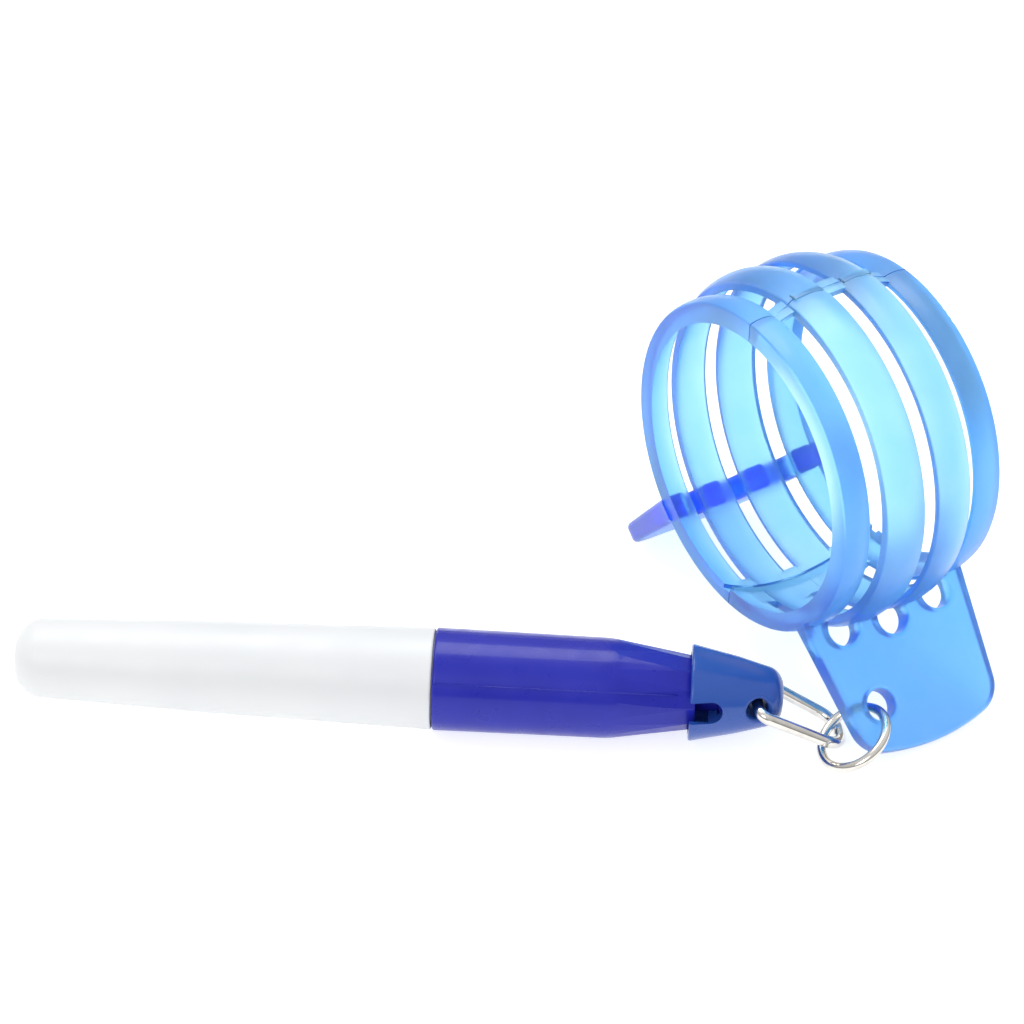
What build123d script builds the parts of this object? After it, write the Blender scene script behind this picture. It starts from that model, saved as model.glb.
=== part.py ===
"""Clamp for marking lines on a golf ball, with a short marker pen tethered to its tab.

The cage stands on the tips of its two tabs, hinge up and seam down, with its axis along X.
The marker lies on the same surface. Millimetres, +Z up, the surface at Z = 0.
"""

import os
from math import cos, radians, sin, sqrt

from build123d import *

os.makedirs("parts", exist_ok=True)

# ---------------------------------------------------------------- cage sizes
BORE_R = 21.45  # inside of the shell: a golf ball's 21.33 mm radius and a little air
HALF_WIDTH = 11.5  # half of the cage's width along its axis
MIDDLE_BAND = (0.95, 6.15)  # where the inner pair of bands starts and stops, from the middle
OUTER_BAND = (7.75, HALF_WIDTH)
MIDDLE_CREST_R = 22.45  # outside of the inner bands, halfway across each
OUTER_CREST_R = 20.85
MIDDLE_EDGE_WALLS = (0.6, 1.0)  # wall at a band's two edges, the one nearer the middle first
OUTER_EDGE_WALLS = (0.45, 2.4)
BAND_OUTER_ROUND = 0.3
BAND_INNER_ROUND = 0.12
STRIP_STEP = 0.05  # what crosses the slots stays this much further from the ball than the bands
SEAM_GAP_DEG = 0.2  # each half stops this far short of the parting plane
HINGE_BAR_DEG = 3.2
HINGE_BAR_THICKNESS = 0.75  # bars that join the bands beside the hinge
SEAM_RAIL_DEG = 7.4
SEAM_RAIL_THICKNESS = 1.1  # rails that join the bands beside the seam
LIP_THICKNESS = 0.45  # locating lip inside the seam
LIP_REACH_DEG = 2.6
LIP_CLEARANCE = 0.2
LIP_CLEARANCE_DEG = 1.0

# ---------------------------------------------------------------- tab sizes
FRONT_TAB_ANGLE = 45.0  # from the seam
FRONT_TAB_TIP = 38.8  # from the cage's axis to the middle of the tip
REAR_TAB_ANGLE = 42.5
TAB_ROOT = 20.0
TAB_SINK = 0.3  # the root ends inside the shell's wall, this far from its bore
TAB_ROOT_HALF = 11.8
TAB_TIP_HALF = 10.1
TAB_TIP_ARC_R = 28.0
TAB_CORNER_R = 4.0
TAB_ROOT_THICKNESS = 3.3
TAB_DRAFT = 0.0213  # each face leans in by this much per millimetre towards the tip
TAB_EDGE_R = 0.7
ROOT_HOLE_R = 2.1
ROOT_HOLES = ((-7.0, 22.2), (0, 23.1), (7.0, 22.2))  # along the axis, and out from it
HOLE_ROUND = 0.6
TETHER_HOLE_R = 1.9
TETHER_HOLE_X = -6.0
TETHER_HOLE_REACH = 32.3

# ---------------------------------------------------------------- where the cage stands
CAGE_X = 39.6
CAGE_Y = -5.7
FRONT_COS = cos(radians(FRONT_TAB_ANGLE))
FRONT_SIN = sin(radians(FRONT_TAB_ANGLE))
REAR_COS = cos(radians(REAR_TAB_ANGLE))
REAR_SIN = sin(radians(REAR_TAB_ANGLE))
EDGE_OFFSET = TAB_ROOT_THICKNESS / 2 + TAB_DRAFT * TAB_ROOT - TAB_EDGE_R
CAGE_Z = (
    (FRONT_TAB_TIP - TAB_EDGE_R) * (FRONT_COS - TAB_DRAFT * FRONT_SIN) + EDGE_OFFSET * FRONT_SIN + TAB_EDGE_R
)
REAR_TAB_TIP = TAB_EDGE_R + (CAGE_Z - TAB_EDGE_R - EDGE_OFFSET * REAR_SIN) / (REAR_COS - TAB_DRAFT * REAR_SIN)
CAGE_CENTRE = Vector(CAGE_X, CAGE_Y, CAGE_Z)
CAGE_AXIS = Axis(CAGE_CENTRE, (1, 0, 0))

# ---------------------------------------------------------------- tether sizes and places
RING_R = 4.35
RING_WIRE_R = 0.6
RING_CENTRE = Vector(CAGE_X - 10.27, CAGE_Y - 24.06, 3.08)
RING_NORMAL = Vector(-0.525, 0.192, 0.829)
LINK_WIRE_R = 0.75
LINK_BASE_HALF = 4.75
LINK_END_HALF = 3.2
LINK_LENGTH = 11.42
LINK_BASE_ROUND = 1.2
LINK_END_ROUND = 2.9
LINK_TURN = 4.9  # degrees that the link leans within the cap end's cross hole
LINK_REACH = Vector(7.1, -7.16, -4.72)  # from the cross hole towards the ring

# ---------------------------------------------------------------- marker sizes and place
PEN_HEIGHT = 6.15
CROSS_HOLE_AT = Vector(CAGE_X - 17.9, CAGE_Y - 14.7, PEN_HEIGHT)
PEN_DIRECTION = Vector(-0.806, 0.591, 0).normalized()  # from the cap end to the barrel's end
CROSS_HOLE_TILT = 12.0
CROSS_HOLE_R = 1.3
CROSS_HOLE_ROUND = 0.4
NOSE_AT = -3.1
NOSE_R = 3.1
SKIRT_AT = 8.0
SKIRT_R = 5.85
NOTCH_R = 1.4
NOTCH_DEPTH = 3.9
CAP_END_AT = 7.4  # the cap's taper ends just inside the skirt
TAPER_AT = 17.5
MOUTH_AT = 38.5
BARREL_SHOULDER_AT = 38.65
BARREL_END_AT = 89.0
CAP_MOUTH_R = 6.15
BARREL_R = 6.1
BARREL_NECK_R = 5.2
CAP_BORE_R = 5.3
FACETS = 12
NECK_R = 2.2
NECK_BORE_R = 2.28
HEAD_R = 3.1
HEAD_POCKET_R = 3.3
NIB_R = 1.1
RESERVOIR_R = 3.55
WRAP_R = 3.75

# ---------------------------------------------------------------- planes along the marker
across = Vector(-PEN_DIRECTION.Y, PEN_DIRECTION.X, 0) * cos(radians(CROSS_HOLE_TILT))
CROSS_DIRECTION = across + Vector(0, 0, sin(radians(CROSS_HOLE_TILT)))
PEN_AXIS = Axis(CROSS_HOLE_AT, PEN_DIRECTION)
PEN = Plane(CROSS_HOLE_AT, x_dir=CROSS_DIRECTION, z_dir=PEN_DIRECTION)
SIDE_DIRECTION = PEN_DIRECTION.cross(CROSS_DIRECTION)
PEN_PROFILE = Plane(CROSS_HOLE_AT, x_dir=SIDE_DIRECTION, z_dir=SIDE_DIRECTION.cross(PEN_DIRECTION))
CROSS_HOLE = Plane(CROSS_HOLE_AT, x_dir=PEN_DIRECTION, z_dir=CROSS_DIRECTION)


def bore(x):
    """Radius of the shell's inside at a distance x along the axis."""
    return sqrt(BORE_R**2 - x**2)


def section(angle):
    """Plane through the cage's axis: its x runs along the axis, and its y points outwards at the angle."""
    turn = radians(angle)
    return Plane(CAGE_CENTRE, x_dir=(1, 0, 0), z_dir=(0, -sin(turn), cos(turn)))


def band_face(angle, start, stop, start_wall, stop_wall, crest):
    """Cross-section of one band: it follows the ball inside and is crowned outside."""
    middle = (start + stop) / 2
    start_top = bore(start) + start_wall
    stop_top = bore(stop) + stop_wall
    with BuildSketch(section(angle)) as outline:
        with BuildLine():
            ThreePointArc((start, bore(start)), (middle, bore(middle)), (stop, bore(stop)))
            Line((stop, bore(stop)), (stop, stop_top))
            ThreePointArc((stop, stop_top), (middle, crest), (start, start_top))
            Line((start, start_top), (start, bore(start)))
        make_face()
        corners = outline.vertices().sort_by(Axis.Y)
        fillet(corners[-2:], BAND_OUTER_ROUND)
        fillet(corners[:2], BAND_INNER_ROUND)
    return outline.sketch


def strip_face(angle, half_width, lowest, highest):
    """Cross-section of a strip that crosses the slots, between two radius functions of x."""
    with BuildSketch(section(angle)) as outline:
        with BuildLine():
            ThreePointArc((-half_width, lowest(half_width)), (0, lowest(0)), (half_width, lowest(half_width)))
            Line((half_width, lowest(half_width)), (half_width, highest(half_width)))
            ThreePointArc((half_width, highest(half_width)), (0, highest(0)), (-half_width, highest(half_width)))
            Line((-half_width, highest(half_width)), (-half_width, lowest(half_width)))
        make_face()
    return outline.sketch


def bar_top(x):
    return bore(x) + HINGE_BAR_THICKNESS


def rail_top(x):
    return bore(x) + SEAM_RAIL_THICKNESS


def strip_bottom(x):
    return bore(x) + STRIP_STEP


def lip_top(x):
    return bore(x) + LIP_THICKNESS


def rebate_top(x):
    return bore(x) + LIP_THICKNESS + LIP_CLEARANCE


def bore_under(x):
    return bore(x) - LIP_CLEARANCE


def make_tab(angle, tip, tether_hole):
    """A finger tab that lies in the plane through the cage's axis at the angle."""
    face_plane = section(angle)
    side_plane = Plane(CAGE_CENTRE, x_dir=face_plane.y_dir, z_dir=(1, 0, 0))
    tip_edge = tip - TAB_TIP_ARC_R + sqrt(TAB_TIP_ARC_R**2 - TAB_TIP_HALF**2)
    root_half = TAB_ROOT_THICKNESS / 2
    tip_half = root_half - TAB_DRAFT * (tip - TAB_ROOT)
    with BuildPart() as tab:
        with BuildSketch(side_plane):
            with BuildLine():
                Polyline(
                    (TAB_ROOT, root_half),
                    (tip, tip_half),
                    (tip, -tip_half),
                    (TAB_ROOT, -root_half),
                    close=True,
                )
            make_face()
        extrude(amount=TAB_ROOT_HALF, both=True)
        with BuildSketch(face_plane) as outline:
            with BuildLine():
                Polyline(
                    (-TAB_TIP_HALF, tip_edge),
                    (-TAB_ROOT_HALF, TAB_ROOT),
                    (TAB_ROOT_HALF, TAB_ROOT),
                    (TAB_TIP_HALF, tip_edge),
                )
                ThreePointArc((TAB_TIP_HALF, tip_edge), (0, tip), (-TAB_TIP_HALF, tip_edge))
            make_face()
            fillet(outline.vertices().sort_by(Axis.Y)[-2:], TAB_CORNER_R)
        extrude(amount=TAB_ROOT_THICKNESS, both=True, mode=Mode.INTERSECT)
        broad_faces = tab.faces().sort_by(SortBy.AREA)[-2:]
        root_line = Axis(CAGE_CENTRE, face_plane.y_dir)
        rim = [edge for face in broad_faces for edge in face.edges().sort_by(root_line)[1:]]
        fillet(rim, TAB_EDGE_R)
        with BuildSketch(face_plane):
            with Locations(*ROOT_HOLES):
                Circle(ROOT_HOLE_R)
            if tether_hole:
                with Locations((TETHER_HOLE_X, TETHER_HOLE_REACH)):
                    Circle(TETHER_HOLE_R)
        extrude(amount=TAB_ROOT_THICKNESS, both=True, mode=Mode.SUBTRACT)
        hole_rims = tab.edges(Select.LAST).filter_by(GeomType.LINE, reverse=True)
        fillet(hole_rims, HOLE_ROUND)
        with Locations(CAGE_CENTRE):
            Sphere(BORE_R + TAB_SINK, mode=Mode.SUBTRACT)
    return tab.part


def turned_face(points, rounds=()):
    """Half section of a piece turned about the marker's axis: points are (radius, distance along)."""
    with BuildSketch(PEN_PROFILE) as outline:
        with BuildLine():
            Polyline(*points, close=True)
        make_face()
        for point, radius in rounds:
            fillet(outline.vertices().sort_by_distance(point)[0], radius)
    return outline.sketch


BANDS = (
    (-OUTER_BAND[1], -OUTER_BAND[0], *reversed(OUTER_EDGE_WALLS), OUTER_CREST_R),
    (-MIDDLE_BAND[1], -MIDDLE_BAND[0], *reversed(MIDDLE_EDGE_WALLS), MIDDLE_CREST_R),
    (*MIDDLE_BAND, *MIDDLE_EDGE_WALLS, MIDDLE_CREST_R),
    (*OUTER_BAND, *OUTER_EDGE_WALLS, OUTER_CREST_R),
)
HINGE_ANGLE = 90.0
SEAM_ANGLE = 270.0
HALF_TURN = 180 - 2 * SEAM_GAP_DEG
SPINE_HALF = OUTER_BAND[0] + 0.4  # the bars run this far into the outer bands
RAIL_HALF = HALF_WIDTH - 0.8

# ---------------------------------------------------------------- front half of the cage
front_tab = make_tab(SEAM_ANGLE - FRONT_TAB_ANGLE, FRONT_TAB_TIP, tether_hole=True)

with BuildPart() as front_half:
    for band in BANDS:
        revolve(band_face(HINGE_ANGLE + SEAM_GAP_DEG, *band), axis=CAGE_AXIS, revolution_arc=HALF_TURN)
    spine = strip_face(HINGE_ANGLE + SEAM_GAP_DEG, SPINE_HALF, strip_bottom, bar_top)
    revolve(spine, axis=CAGE_AXIS, revolution_arc=HINGE_BAR_DEG)
    rail = strip_face(SEAM_ANGLE - SEAM_RAIL_DEG, RAIL_HALF, strip_bottom, rail_top)
    revolve(rail, axis=CAGE_AXIS, revolution_arc=SEAM_RAIL_DEG - SEAM_GAP_DEG)
    add(front_tab)
    lip = strip_face(SEAM_ANGLE - LIP_REACH_DEG, RAIL_HALF, strip_bottom, lip_top)
    revolve(lip, axis=CAGE_AXIS, revolution_arc=2 * LIP_REACH_DEG)

front_half.part.label = "front_half"
export_step(front_half.part, "parts/front_half.step")

# ---------------------------------------------------------------- rear half of the cage
rear_tab = make_tab(SEAM_ANGLE + REAR_TAB_ANGLE, REAR_TAB_TIP, tether_hole=False)

with BuildPart() as rear_half:
    for band in BANDS:
        revolve(band_face(SEAM_ANGLE + SEAM_GAP_DEG, *band), axis=CAGE_AXIS, revolution_arc=HALF_TURN)
    spine = strip_face(HINGE_ANGLE - SEAM_GAP_DEG - HINGE_BAR_DEG, SPINE_HALF, strip_bottom, bar_top)
    revolve(spine, axis=CAGE_AXIS, revolution_arc=HINGE_BAR_DEG)
    rail = strip_face(SEAM_ANGLE + SEAM_GAP_DEG, RAIL_HALF, strip_bottom, rail_top)
    revolve(rail, axis=CAGE_AXIS, revolution_arc=SEAM_RAIL_DEG - SEAM_GAP_DEG)
    add(rear_tab)
    rebate = strip_face(SEAM_ANGLE, HALF_WIDTH, bore_under, rebate_top)
    revolve(
        rebate,
        axis=CAGE_AXIS,
        revolution_arc=LIP_REACH_DEG + LIP_CLEARANCE_DEG,
        mode=Mode.SUBTRACT,
    )

rear_half.part.label = "rear_half"
export_step(rear_half.part, "parts/rear_half.step")

# ---------------------------------------------------------------- wire ring in the tab's corner hole
with BuildPart(Plane(RING_CENTRE, z_dir=RING_NORMAL)) as tether_ring:
    Torus(RING_R, RING_WIRE_R)

tether_ring.part.label = "tether_ring"
export_step(tether_ring.part, "parts/tether_ring.step")

# ---------------------------------------------------------------- oval wire link
link_normal = CROSS_DIRECTION.cross(LINK_REACH).normalized()
link_base = CROSS_DIRECTION.rotate(Axis((0, 0, 0), link_normal), LINK_TURN)
LINK_PLANE = Plane(CROSS_HOLE_AT, x_dir=link_base, z_dir=link_normal)

with BuildPart() as tether_link:
    with BuildLine(LINK_PLANE) as link_path:
        FilletPolyline(
            (LINK_BASE_HALF, 0),
            (LINK_END_HALF, LINK_LENGTH),
            (-LINK_END_HALF, LINK_LENGTH),
            (-LINK_BASE_HALF, 0),
            radius=(LINK_BASE_ROUND, LINK_END_ROUND, LINK_END_ROUND, LINK_BASE_ROUND),
            close=True,
        )
    with BuildSketch(Plane(link_path.line @ 0, z_dir=link_path.line % 0)):
        Circle(LINK_WIRE_R)
    sweep()

tether_link.part.label = "tether_link"
export_step(tether_link.part, "parts/tether_link.step")

# ---------------------------------------------------------------- cap end that the link passes through
BELL_R = 4.6  # the bell's radius partway between its nose and its skirt
BELL_AT = 2.3
SKIRT_BORE_R = 4.95
CAP_END_SECTION = (
    (0, NOSE_AT),
    (NOSE_R, NOSE_AT),
    (BELL_R, BELL_AT),
    (SKIRT_R, SKIRT_AT),
    (SKIRT_BORE_R, SKIRT_AT),
    (SKIRT_BORE_R, 5.7),
    (NECK_BORE_R, 5.7),
    (NECK_BORE_R, 4.7),
    (HEAD_POCKET_R, 4.7),
    (HEAD_POCKET_R, 2.4),
    (0, 2.4),
)
CAP_END_ROUNDS = (((NOSE_R, NOSE_AT), 2.4), ((BELL_R, BELL_AT), 12.0), ((SKIRT_R, SKIRT_AT), 0.3))

with BuildPart() as cap_end:
    revolve(turned_face(CAP_END_SECTION, CAP_END_ROUNDS), axis=PEN_AXIS)
    with BuildSketch(CROSS_HOLE):
        Circle(CROSS_HOLE_R)
    extrude(amount=SKIRT_R, both=True, mode=Mode.SUBTRACT)
    fillet(cap_end.edges(Select.LAST).filter_by(GeomType.LINE, reverse=True), CROSS_HOLE_ROUND)
    with BuildSketch(CROSS_HOLE):
        with Locations((SKIRT_AT, 0)):
            SlotCenterToCenter(2 * (NOTCH_DEPTH - NOTCH_R), 2 * NOTCH_R)
    extrude(amount=SKIRT_R, both=True, mode=Mode.SUBTRACT)

cap_end.part.label = "cap_end"
export_step(cap_end.part, "parts/cap_end.step")

# ---------------------------------------------------------------- flats on the cap's taper
TAPER_END_R = 4.35
TAPER_R = 6.0
FLAT_END_R = TAPER_END_R * cos(radians(180 / FACETS))

with BuildPart() as taper_core:
    with BuildSketch(PEN.offset(CAP_END_AT)):
        RegularPolygon(FLAT_END_R, FACETS, major_radius=False)
    with BuildSketch(PEN.offset(TAPER_AT)):
        RegularPolygon(TAPER_R, FACETS, major_radius=False)
    loft()

with BuildPart() as flat_cutter:
    with BuildSketch(PEN.offset(CAP_END_AT)):
        Circle(2 * TAPER_R)
    extrude(amount=TAPER_AT - CAP_END_AT)
    add(taper_core.part, mode=Mode.SUBTRACT)

# ---------------------------------------------------------------- pen cap
CAP_SECTION = (
    (0, 2.6),
    (HEAD_R, 2.6),
    (HEAD_R, 4.5),
    (NECK_R, 4.5),
    (NECK_R, CAP_END_AT),
    (TAPER_END_R, CAP_END_AT),
    (TAPER_R, TAPER_AT),
    (CAP_MOUTH_R, MOUTH_AT),
    (CAP_BORE_R, MOUTH_AT),
    (CAP_BORE_R, 28.5),
    (4.7, 27.5),
    (4.5, 20.0),
    (3.6, 16.0),
    (3.6, 12.6),
    (0, 12.6),
)
CAP_ROUNDS = (((CAP_MOUTH_R, MOUTH_AT), 0.3), ((TAPER_R, TAPER_AT), 12.0))

with BuildPart() as cap:
    revolve(turned_face(CAP_SECTION, CAP_ROUNDS), axis=PEN_AXIS)
    add(flat_cutter.part, mode=Mode.SUBTRACT)

cap.part.label = "cap"
export_step(cap.part, "parts/cap.step")

# ---------------------------------------------------------------- cup inside the cap that closes round the nib
SEAL_SECTION = ((0, 12.6), (3.5, 12.6), (3.5, 24.5), (2.75, 24.5), (2.35, 23.0), (2.35, 13.8), (0, 13.8))

with BuildPart() as cap_seal:
    revolve(turned_face(SEAL_SECTION), axis=PEN_AXIS)

cap_seal.part.label = "cap_seal"
export_step(cap_seal.part, "parts/cap_seal.step")

# ---------------------------------------------------------------- marker barrel
BARREL_SECTION = (
    (4.3, 30.5),
    (BARREL_NECK_R, 30.5),
    (BARREL_NECK_R, BARREL_SHOULDER_AT),
    (BARREL_R, BARREL_SHOULDER_AT),
    (5.5, 66.0),
    (4.65, BARREL_END_AT - 0.5),
    (0, BARREL_END_AT),
    (0, 86.4),
    (3.3, 86.4),
    (3.85, 84.0),
    (4.3, 66.0),
)
BARREL_ROUNDS = (
    ((BARREL_R, BARREL_SHOULDER_AT), 0.25),
    ((5.5, 66.0), 60.0),
    ((4.65, BARREL_END_AT - 0.5), 3.4),
)

with BuildPart() as barrel:
    revolve(turned_face(BARREL_SECTION, BARREL_ROUNDS), axis=PEN_AXIS)

barrel.part.label = "barrel"
export_step(barrel.part, "parts/barrel.step")

# ---------------------------------------------------------------- nib holder, pushed into the barrel's neck
HOLDER_SECTION = (
    (NIB_R, 19.6),
    (2.0, 19.6),
    (2.15, 25.4),
    (4.3, 29.3),
    (4.9, 29.3),
    (4.9, 30.5),
    (4.28, 30.5),
    (4.28, 35.5),
    (NIB_R, 35.5),
)

with BuildPart() as nib_holder:
    revolve(turned_face(HOLDER_SECTION), axis=PEN_AXIS)

nib_holder.part.label = "nib_holder"
export_step(nib_holder.part, "parts/nib_holder.step")

# ---------------------------------------------------------------- bullet nib
NIB_SECTION = ((0, 16.6), (0.55, 16.6), (NIB_R, 18.4), (NIB_R, 36.2), (0, 36.2))

with BuildPart() as nib:
    revolve(turned_face(NIB_SECTION, (((0.55, 16.6), 0.4),)), axis=PEN_AXIS)

nib.part.label = "nib"
export_step(nib.part, "parts/nib.step")

# ---------------------------------------------------------------- ink reservoir and its film wrap
RESERVOIR_SPAN = (36.2, 82.0)

with BuildPart() as ink_reservoir:
    with BuildSketch(PEN.offset(RESERVOIR_SPAN[0])):
        Circle(RESERVOIR_R)
    extrude(amount=RESERVOIR_SPAN[1] - RESERVOIR_SPAN[0])

ink_reservoir.part.label = "ink_reservoir"
export_step(ink_reservoir.part, "parts/ink_reservoir.step")

with BuildPart() as reservoir_wrap:
    with BuildSketch(PEN.offset(RESERVOIR_SPAN[0])):
        Circle(WRAP_R)
        Circle(RESERVOIR_R, mode=Mode.SUBTRACT)
    extrude(amount=RESERVOIR_SPAN[1] - RESERVOIR_SPAN[0])

reservoir_wrap.part.label = "reservoir_wrap"
export_step(reservoir_wrap.part, "parts/reservoir_wrap.step")
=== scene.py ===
"""Looks for the golf ball line-marking clamp and its tethered marker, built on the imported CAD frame."""

from math import cos, pi, radians, sin

import bmesh
import bpy
import numpy as np
from mathutils import Matrix, Vector


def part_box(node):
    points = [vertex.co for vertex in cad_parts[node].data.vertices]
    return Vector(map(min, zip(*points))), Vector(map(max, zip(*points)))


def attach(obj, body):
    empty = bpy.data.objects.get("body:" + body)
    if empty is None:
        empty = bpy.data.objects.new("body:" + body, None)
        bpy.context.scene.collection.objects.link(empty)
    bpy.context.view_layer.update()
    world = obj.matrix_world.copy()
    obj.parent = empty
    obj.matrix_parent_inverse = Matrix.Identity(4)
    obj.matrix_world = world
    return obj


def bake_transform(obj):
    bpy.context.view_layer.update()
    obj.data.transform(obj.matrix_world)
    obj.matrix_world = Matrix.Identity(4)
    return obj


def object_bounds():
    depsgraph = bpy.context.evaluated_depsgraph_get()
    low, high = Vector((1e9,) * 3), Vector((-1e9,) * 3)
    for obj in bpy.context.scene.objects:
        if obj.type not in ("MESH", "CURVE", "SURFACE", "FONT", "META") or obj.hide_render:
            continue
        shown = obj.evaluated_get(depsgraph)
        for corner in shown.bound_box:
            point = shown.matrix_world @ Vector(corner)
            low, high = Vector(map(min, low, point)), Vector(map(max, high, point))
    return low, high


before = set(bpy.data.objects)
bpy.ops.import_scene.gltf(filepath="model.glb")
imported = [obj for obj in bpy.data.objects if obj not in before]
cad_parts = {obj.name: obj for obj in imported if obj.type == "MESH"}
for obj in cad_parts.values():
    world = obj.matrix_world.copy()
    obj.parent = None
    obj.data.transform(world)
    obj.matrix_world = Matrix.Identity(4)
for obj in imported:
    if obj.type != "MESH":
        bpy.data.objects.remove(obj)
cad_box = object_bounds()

MM = 0.001

# ---------------------------------------------------------------- places read from the frame
FRONT_LOW, FRONT_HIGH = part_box("front_half")
REAR_LOW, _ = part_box("rear_half")
CREST_R = 22.45 * MM  # outside of the inner bands
HALF_GAP = 0.07 * MM  # about how far the rear half starts behind the parting plane
CAGE = Vector(((FRONT_LOW.x + FRONT_HIGH.x) / 2, REAR_LOW.y - HALF_GAP, FRONT_HIGH.z - CREST_R))

# the marker's axis, from its cylindrical ink reservoir
points = np.array([v.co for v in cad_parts["ink_reservoir"].data.vertices], float)
RESERVOIR_MIDDLE = Vector(sum(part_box("ink_reservoir"), Vector()) / 2)
PEN_DIRECTION = Vector(np.linalg.svd(points - points.mean(0), full_matrices=False)[2][0])
if PEN_DIRECTION.x > 0:
    PEN_DIRECTION = -PEN_DIRECTION
PEN_DIRECTION.z = 0
PEN_DIRECTION.normalize()
RESERVOIR_MIDDLE_AT = 59.1 * MM  # from the cap end's cross hole, along the marker
PEN_UP = Vector((0, 0, 1))
PEN_SIDE = PEN_DIRECTION.cross(PEN_UP)


def pen_point(along, radius, angle):
    """A point on the marker: along from the cross hole, at an angle above the side that faces the camera."""
    middle = RESERVOIR_MIDDLE + PEN_DIRECTION * (along - RESERVOIR_MIDDLE_AT)
    outwards = -PEN_SIDE * cos(angle) + PEN_UP * sin(angle)
    return middle + outwards * radius


# ---------------------------------------------------------------- node helpers
def new_material(name):
    material = bpy.data.materials.new(name)
    material.use_nodes = True
    nodes = material.node_tree.nodes
    nodes.clear()
    output = nodes.new("ShaderNodeOutputMaterial")
    shader = nodes.new("ShaderNodeBsdfPrincipled")
    material.node_tree.links.new(shader.outputs["BSDF"], output.inputs["Surface"])
    return material, shader, output


def node(material, kind, **values):
    """Adds a node. Keys that are sockets set the socket's value, and others set the node's own property."""
    made = material.node_tree.nodes.new(kind)
    for key, value in values.items():
        if key in made.inputs:
            made.inputs[key].default_value = value
        else:
            setattr(made, key, value)
    return made


def link(material, a, b):
    material.node_tree.links.new(a, b)


def noise(material, scale, detail=3.0):
    """Noise over the object's own space. scale is in features per metre."""
    coords = node(material, "ShaderNodeTexCoord")
    made = node(material, "ShaderNodeTexNoise", Scale=scale, Detail=detail)
    link(material, coords.outputs["Object"], made.inputs["Vector"])
    return made.outputs["Fac"]


NOISE_LOW, NOISE_HIGH = 0.3, 0.7  # the part of the noise that is stretched


def remap(material, value, low, high):
    """Stretches noise to run from low to high."""
    made = node(material, "ShaderNodeMapRange")
    made.inputs["From Min"].default_value = NOISE_LOW
    made.inputs["From Max"].default_value = NOISE_HIGH
    made.inputs["To Min"].default_value = low
    made.inputs["To Max"].default_value = high
    link(material, value, made.inputs["Value"])
    return made.outputs["Result"]


MIX_FACTOR, MIX_A, MIX_B, MIX_RESULT = 0, 6, 7, 2  # the Mix node's sockets for colours


def two_tone(material, shader, value, low, high):
    """Base colour that varies between two tones."""
    mix = node(material, "ShaderNodeMix", data_type="RGBA")
    mix.inputs[MIX_A].default_value = (*low, 1)
    mix.inputs[MIX_B].default_value = (*high, 1)
    link(material, remap(material, value, 0, 1), mix.inputs[MIX_FACTOR])
    link(material, mix.outputs[MIX_RESULT], shader.inputs["Base Color"])


def bump(material, shader, height, strength, distance):
    made = node(material, "ShaderNodeBump", Strength=strength, Distance=distance)
    link(material, height, made.inputs["Height"])
    link(material, made.outputs["Normal"], shader.inputs["Normal"])


# ---------------------------------------------------------------- materials
def frosted_plastic():
    """Tinted translucent plastic: its colour deepens with the path through it."""
    material, shader, output = new_material("frosted_blue")
    shader.inputs["Transmission Weight"].default_value = 0.92
    shader.inputs["IOR"].default_value = 1.47
    two_tone(material, shader, noise(material, 260.0), (0.44, 0.82, 1.0), (0.50, 0.86, 1.0))
    link(material, remap(material, noise(material, 500.0, 1.0), 0.29, 0.35), shader.inputs["Roughness"])
    bump(material, shader, noise(material, 180.0, 0.0), 0.04, 0.05 * MM)
    absorb = node(material, "ShaderNodeVolumeAbsorption")
    absorb.inputs["Color"].default_value = (0.0, 0.53, 0.995, 1)
    absorb.inputs["Density"].default_value = 370.0
    link(material, absorb.outputs["Volume"], output.inputs["Volume"])
    return material


def moulded(name, low, high, roughness, specular=0.5, coat=0.0, scale=150.0, texture=0.05):
    """Moulded plastic with faint flow marks and uneven gloss."""
    material, shader, _ = new_material(name)
    two_tone(material, shader, noise(material, scale), low, high)
    gloss = noise(material, scale * 3, 1.0)
    link(material, remap(material, gloss, roughness * 0.8, roughness * 1.2), shader.inputs["Roughness"])
    shader.inputs["IOR"].default_value = 1.5
    shader.inputs["Specular IOR Level"].default_value = specular
    shader.inputs["Coat Weight"].default_value = coat
    shader.inputs["Coat Roughness"].default_value = 0.07
    bump(material, shader, noise(material, scale, 0.0), texture, 0.04 * MM)
    return material


def plated_wire():
    """Bright nickel plate with faint drawing marks."""
    material, shader, _ = new_material("nickel_wire")
    shader.inputs["Metallic"].default_value = 1.0
    two_tone(material, shader, noise(material, 500.0), (0.66, 0.63, 0.58), (0.80, 0.78, 0.74))
    link(material, remap(material, noise(material, 1800.0), 0.06, 0.15), shader.inputs["Roughness"])
    bump(material, shader, noise(material, 3000.0), 0.03, 0.02 * MM)
    return material


frosted = frosted_plastic()
nickel = plated_wire()
cap_violet = moulded(
    "cap_violet", (0.009, 0.013, 0.31), (0.013, 0.018, 0.35), 0.32, specular=0.22, coat=0.22
)
bell_blue = moulded(
    "bell_blue", (0.014, 0.067, 0.34), (0.020, 0.082, 0.38), 0.24, specular=0.35, coat=0.3
)
barrel_white = moulded(
    "barrel_white", (0.645, 0.66, 0.675), (0.675, 0.69, 0.70), 0.45, scale=70.0, texture=0.03
)
seal_white = moulded("seal_white", (0.78, 0.78, 0.80), (0.85, 0.85, 0.87), 0.5, scale=300.0)
ink_fibre = moulded("ink_fibre", (0.012, 0.018, 0.15), (0.03, 0.04, 0.27), 0.85, scale=2500.0, texture=0.4)
film = moulded("clear_film", (0.82, 0.84, 0.88), (0.90, 0.92, 0.95), 0.15, scale=200.0)

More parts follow.
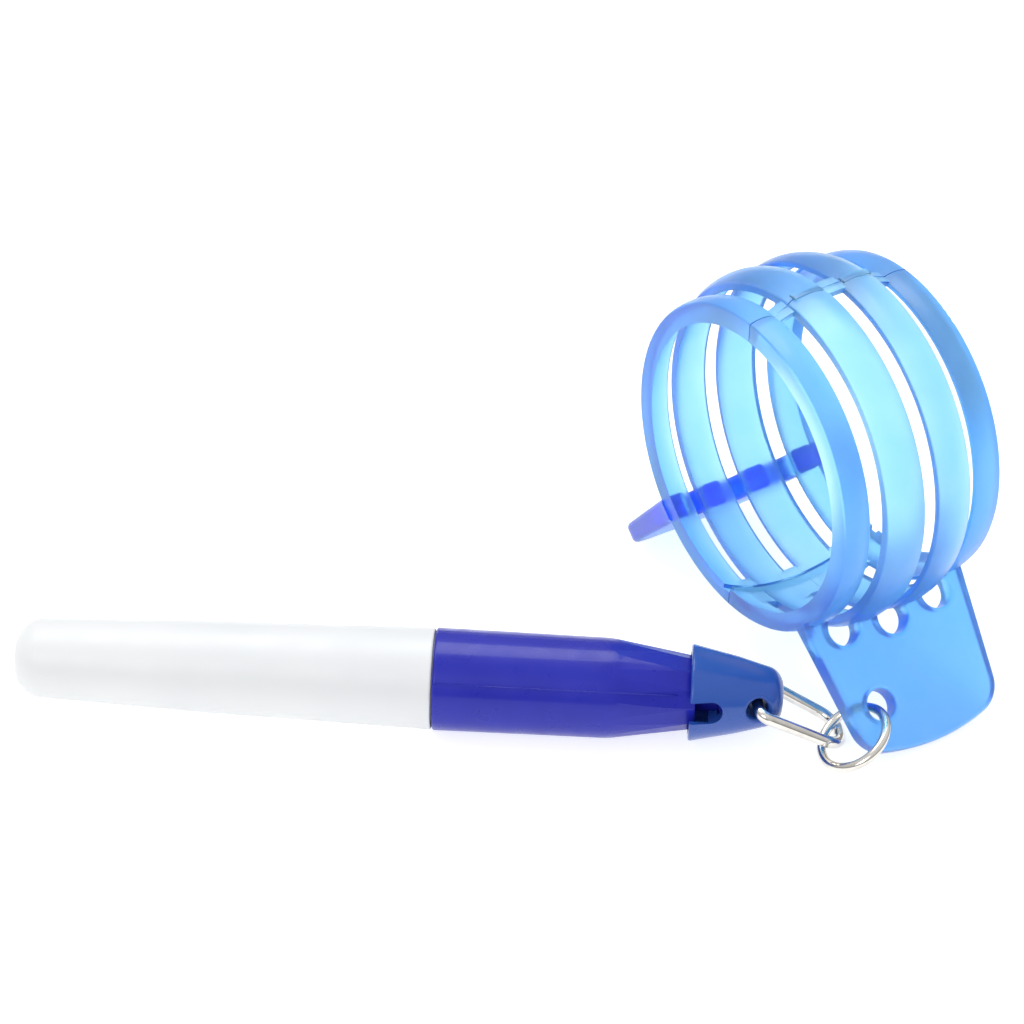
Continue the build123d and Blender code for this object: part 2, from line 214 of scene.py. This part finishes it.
FINISHES = {
    "front_half": (frosted, "cage_plastic"),
    "rear_half": (frosted, "cage_plastic"),
    "tether_ring": (nickel, "nickel"),
    "tether_link": (nickel, "nickel"),
    "cap_end": (bell_blue, "cap_end_plastic"),
    "cap": (cap_violet, "cap_plastic"),
    "cap_seal": (seal_white, "seal_plastic"),
    "barrel": (barrel_white, "barrel_plastic"),
    "nib_holder": (seal_white, "holder_plastic"),
    "nib": (ink_fibre, "nib_fibre"),
    "ink_reservoir": (ink_fibre, "reservoir_fibre"),
    "reservoir_wrap": (film, "wrap_film"),
}
for name, (material, slot_name) in FINISHES.items():
    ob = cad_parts[name]
    ob.data.materials.clear()
    ob.data.materials.append(material)


# ---------------------------------------------------------------- detail pieces
def piece(name, made, material):
    """Turns a bmesh into a smooth-shaded object with its material."""
    bmesh.ops.recalc_face_normals(made, faces=made.faces)
    data = bpy.data.meshes.new(name)
    made.to_mesh(data)
    made.free()
    data.polygons.foreach_set("use_smooth", [True] * len(data.polygons))
    data.materials.append(material)
    ob = bpy.data.objects.new(name, data)
    bpy.context.scene.collection.objects.link(ob)
    return ob


def closed_grid(made, rings):
    """Joins rows of points, each a closed ring, into one closed surface."""
    rows = [[made.verts.new(p) for p in ring] for ring in rings]
    count = len(rows[0])
    for a, b in zip(rows, rows[1:]):
        for i in range(count):
            j = (i + 1) % count
            made.faces.new((a[i], a[j], b[j], b[i]))
    made.faces.new(rows[0])
    made.faces.new(list(reversed(rows[-1])))


# the film's reach along the hinge, beside the middle plane, and across it
FILM_START, FILM_STOP, FILM_CREST_AT = 1.5 * MM, 5.6 * MM, 3.55 * MM
FILM_REACH = 0.55 * MM
FILM_THICKNESS = 0.14 * MM
FILM_SINK = 0.05 * MM  # into the band, at its crest
FILM_FLOOR = 0.02 * MM  # further down to the film's underside
FILM_SIDE_DROP = 0.22 * MM  # less than the band's own fall, so the outer side stands up to 0.3 mm clear
FILM_EDGE_DROP = 0.06 * MM  # thins towards both bands
FILM_STEPS_ALONG, FILM_STEPS_ACROSS = 12, 16


def film_section(drop):
    """Outline across the hinge, over the top and back underneath."""
    across = [FILM_REACH * (2 * j / FILM_STEPS_ACROSS - 1) for j in range(FILM_STEPS_ACROSS + 1)]
    top = [(y, FILM_THICKNESS - FILM_SINK - drop - FILM_EDGE_DROP * (y / FILM_REACH) ** 2) for y in across]
    under = [(y, -FILM_SINK - drop - FILM_FLOOR) for y in reversed(across)]
    return top + under


def hinge_film(name, side):
    """Moulded film over the gap between the halves, along the crest of one inner band."""
    made = bmesh.new()
    rings = []
    for i in range(FILM_STEPS_ALONG + 1):
        x = FILM_START + (FILM_STOP - FILM_START) * i / FILM_STEPS_ALONG
        drop = FILM_SIDE_DROP * ((x - FILM_CREST_AT) / (FILM_CREST_AT - FILM_START)) ** 2
        rings.append([CAGE + Vector((side * x, y, CREST_R + z)) for y, z in film_section(drop)])
    closed_grid(made, rings)
    ob = piece(name, made, frosted)
    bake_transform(ob)


hinge_film("hinge_film_left", -1)
hinge_film("hinge_film_right", 1)

# along the marker from the cap end's cross hole, and out from its axis
CAP_PROFILE = (
    (9.5, 4.62), (12.0, 5.12), (14.5, 5.55), (17.5, 5.93), (21.0, 6.02), (28.0, 6.07), (38.3, 6.14)
)
RIDGE_R = 0.075 * MM
RIDGE_SIDES = 8
PARTING_ANGLE = 34  # degrees, up from the side that faces the camera


def parting_ridge(name, angle):
    """Fine moulding line along the cap."""
    made = bmesh.new()
    rings = []
    for along, radius in CAP_PROFILE:
        ring = []
        for k in range(RIDGE_SIDES):
            turn = 2 * pi * k / RIDGE_SIDES
            outwards = radius * MM + RIDGE_R * sin(turn)
            around = angle + RIDGE_R * cos(turn) / (radius * MM)
            ring.append(pen_point(along * MM, outwards, around))
        rings.append(ring)
    closed_grid(made, rings)
    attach(piece(name, made, cap_violet), "pen_cap")


parting_ridge("cap_parting_near", radians(PARTING_ANGLE))
parting_ridge("cap_parting_far", radians(PARTING_ANGLE + 180))

# ---------------------------------------------------------------- floor
FLOOR_SIZE = 6
FLOOR_GAP = 0.02 * MM
bpy.ops.mesh.primitive_plane_add(size=FLOOR_SIZE, location=(0, 0, cad_box[0][2] - FLOOR_GAP))
floor = bpy.context.object
floor.name = "floor"
floor_material, floor_shader, _ = new_material("floor_white")
floor_shader.inputs["Base Color"].default_value = (0.62, 0.62, 0.62, 1)
floor_shader.inputs["Emission Color"].default_value = (1, 1, 1, 1)
floor_shader.inputs["Emission Strength"].default_value = 0.72
floor_shader.inputs["Roughness"].default_value = 0.7
floor_shader.inputs["Specular IOR Level"].default_value = 0.2
floor.data.materials.append(floor_material)

# ---------------------------------------------------------------- camera
AZIMUTH, ELEVATION, ROLL = radians(-33.9), radians(36.6), radians(1.54)
DISTANCE, SHIFT_RIGHT, SHIFT_UP = 400 * MM, 36.67 * MM, 8.72 * MM
SENSOR = 36.0
FOCAL_LENGTHS_PER_FRAME = 3.238
back = Vector((sin(AZIMUTH) * cos(ELEVATION), -cos(AZIMUTH) * cos(ELEVATION), sin(ELEVATION)))
level_right = Vector((cos(AZIMUTH), sin(AZIMUTH), 0))
right = level_right * cos(ROLL) + back.cross(level_right) * sin(ROLL)
up = back.cross(right)
camera_data = bpy.data.cameras.new("camera")
camera = bpy.data.objects.new("camera", camera_data)
bpy.context.scene.collection.objects.link(camera)
camera_data.sensor_width = SENSOR
camera_data.lens = SENSOR * FOCAL_LENGTHS_PER_FRAME
camera_data.clip_start = 0.01
camera_data.clip_end = 20
eye = CAGE + back * DISTANCE - right * SHIFT_RIGHT - up * SHIFT_UP
camera.matrix_world = Matrix.Translation(eye) @ Matrix((right, up, back)).transposed().to_4x4()
bpy.context.scene.camera = camera

# ---------------------------------------------------------------- light
world = bpy.data.worlds.new("studio")
bpy.context.scene.world = world
world.use_nodes = True
sky = world.node_tree.nodes
sky_links = world.node_tree.links
coords = sky.new("ShaderNodeTexCoord")
split = sky.new("ShaderNodeSeparateXYZ")
ramp = sky.new("ShaderNodeValToRGB")
sky_links.new(coords.outputs["Generated"], split.inputs["Vector"])
sky_links.new(split.outputs["Z"], ramp.inputs["Fac"])
sky_links.new(ramp.outputs["Color"], sky["Background"].inputs["Color"])
# height above the horizon, and brightness there
SKY = ((0.0, 0.34), (0.12, 0.38), (0.28, 0.62), (0.55, 0.85), (1.0, 1.0))
ramp.color_ramp.elements[0].position = SKY[0][0]
ramp.color_ramp.elements[0].color = (SKY[0][1],) * 3 + (1,)
ramp.color_ramp.elements[1].position = SKY[-1][0]
ramp.color_ramp.elements[1].color = (SKY[-1][1],) * 3 + (1,)
for place, level in SKY[1:-1]:
    ramp.color_ramp.elements.new(place).color = (level,) * 3 + (1,)
sky["Background"].inputs["Strength"].default_value = 0.9


LIGHT_AIM = Vector((0, 0, 10 * MM))


def area_light(name, at, size, watts):
    """Soft rectangular light, turned towards the object."""
    data = bpy.data.lights.new(name, "AREA")
    data.shape = "RECTANGLE"
    data.size, data.size_y = size
    data.energy = watts
    ob = bpy.data.objects.new(name, data)
    bpy.context.scene.collection.objects.link(ob)
    ob.location = at
    ob.rotation_euler = (LIGHT_AIM - Vector(at)).to_track_quat("-Z", "Y").to_euler()


area_light("overhead", (0.05, 0.25, 0.6), (0.6, 0.35), 2.6)
area_light("side", (-0.55, -0.3, 0.45), (0.35, 0.35), 1.3)

bpy.context.scene.view_settings.view_transform = "Standard"
